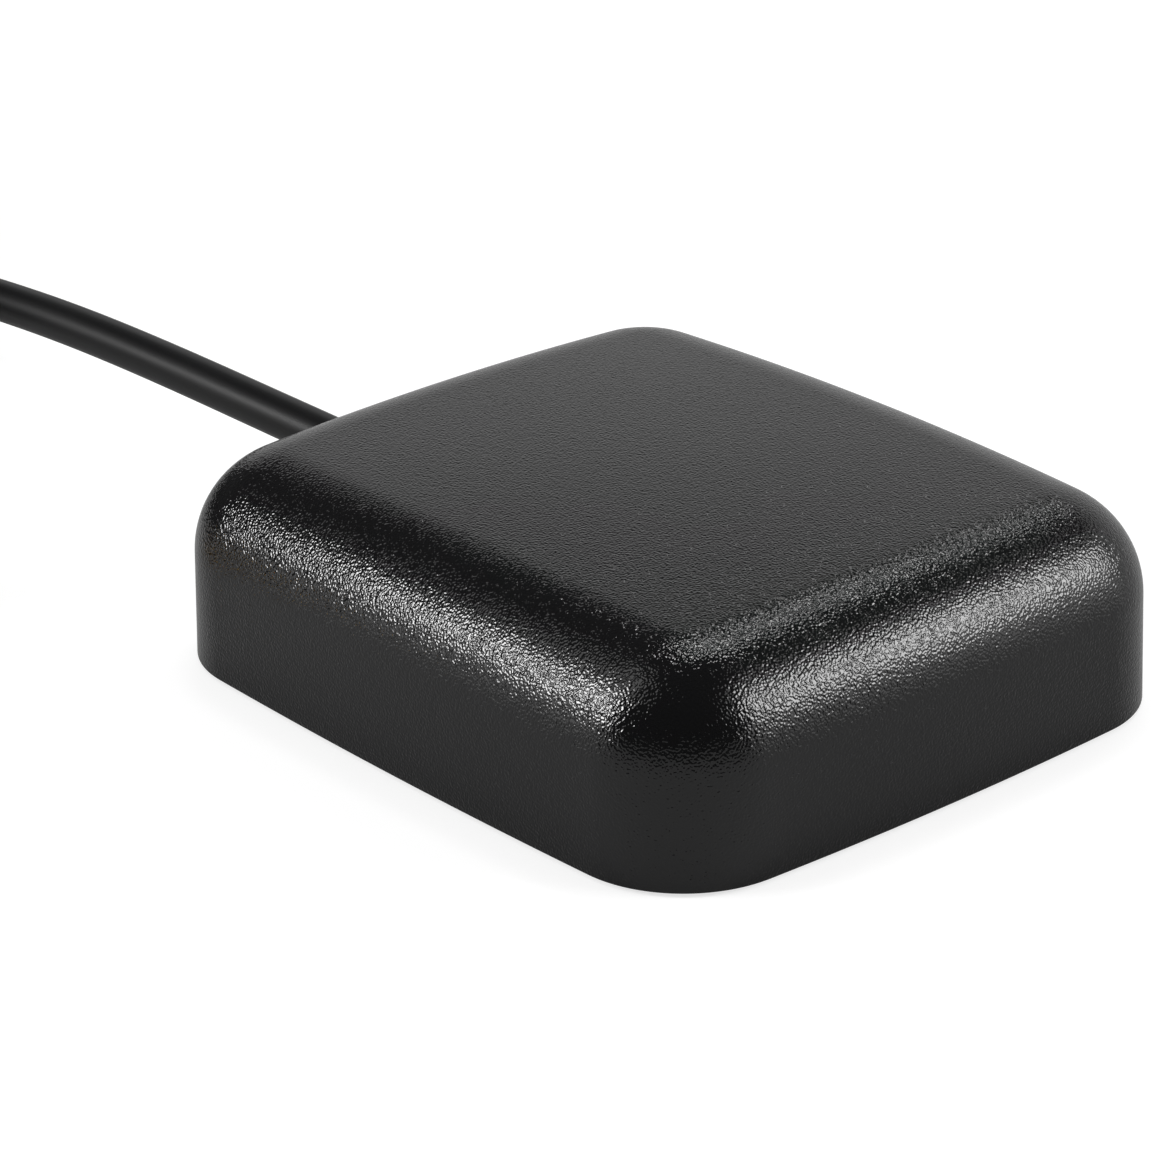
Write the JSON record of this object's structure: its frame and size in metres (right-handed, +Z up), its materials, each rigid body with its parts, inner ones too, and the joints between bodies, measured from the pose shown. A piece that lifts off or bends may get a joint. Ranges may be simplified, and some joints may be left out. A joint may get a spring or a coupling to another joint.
{
  "type": "gps antenna",
  "caption": "Black rounded magnetic puck antenna with a side lead, its spare length in a tied coil, and a screw-on coaxial plug.",
  "frame": {"origin": "middle of the puck's underside, on the surface it stands on", "axes": "+Z up, +Y towards the wall that the lead leaves, +X to the right of the lead"},
  "size_m": [0.0574, 0.1547, 0.0132],
  "materials": {
    "housing_abs": "spark-eroded black ABS",
    "base_abs": "smooth black ABS",
    "seal_rubber": "black silicone rubber",
    "screw_steel": "black oxide steel",
    "magnet_ferrite": "sintered ferrite",
    "board_laminate": "green solder mask on glass laminate",
    "mounting_tape": "double-sided acrylic tape",
    "patch_ceramic": "fired dielectric ceramic with a silver electrode",
    "tinplate": "tin-plated steel",
    "chip_resin": "moulded epoxy",
    "solder": "soft solder",
    "lead_jacket": "satin black PVC",
    "copper": "tinned copper braid and core",
    "dielectric": "polyethylene and PTFE dielectric",
    "shrink_tube": "heat-shrunk polyolefin",
    "gilt_brass": "gold-plated turned brass",
    "tie_plastic": "black plastic-coated wire tie"
  },
  "bodies": {
    "antenna": {"housing_cover": "housing_abs", "base_cover": "base_abs", "rim_gasket": "seal_rubber", "base_screws": "screw_steel", "base_magnet": "magnet_ferrite", "circuit_board": "board_laminate", "patch_tape": "mounting_tape", "ceramic_patch": "patch_ceramic", "feed_pin": "gilt_brass", "shield_can": "tinplate", "amplifier_chip": "chip_resin", "saw_filter": "tinplate", "chip_components": "chip_resin", "solder_joints": "solder", "grommet": "seal_rubber", "cable_braid": "copper", "cable_dielectric": "dielectric", "cable_core": "copper", "cable_run": "lead_jacket", "cable_coil": "lead_jacket", "cable_tail": "lead_jacket", "coil_tie": "tie_plastic", "heat_shrink_sleeve": "shrink_tube", "crimp_ferrule": "gilt_brass", "connector_body": "gilt_brass", "retaining_ring": "gilt_brass", "connector_gasket": "seal_rubber", "connector_insulator": "dielectric", "centre_pin": "gilt_brass"},
    "coupling_nut": {"coupling_nut": "gilt_brass"}
  },
  "joints": [
    {"name": "nut_spin", "type": "hinge", "parent": "antenna", "child": "coupling_nut", "pos_m": [-0.0326, 0.044, 0.004], "axis": [0, -1, 0], "continuous": true}
  ]
}
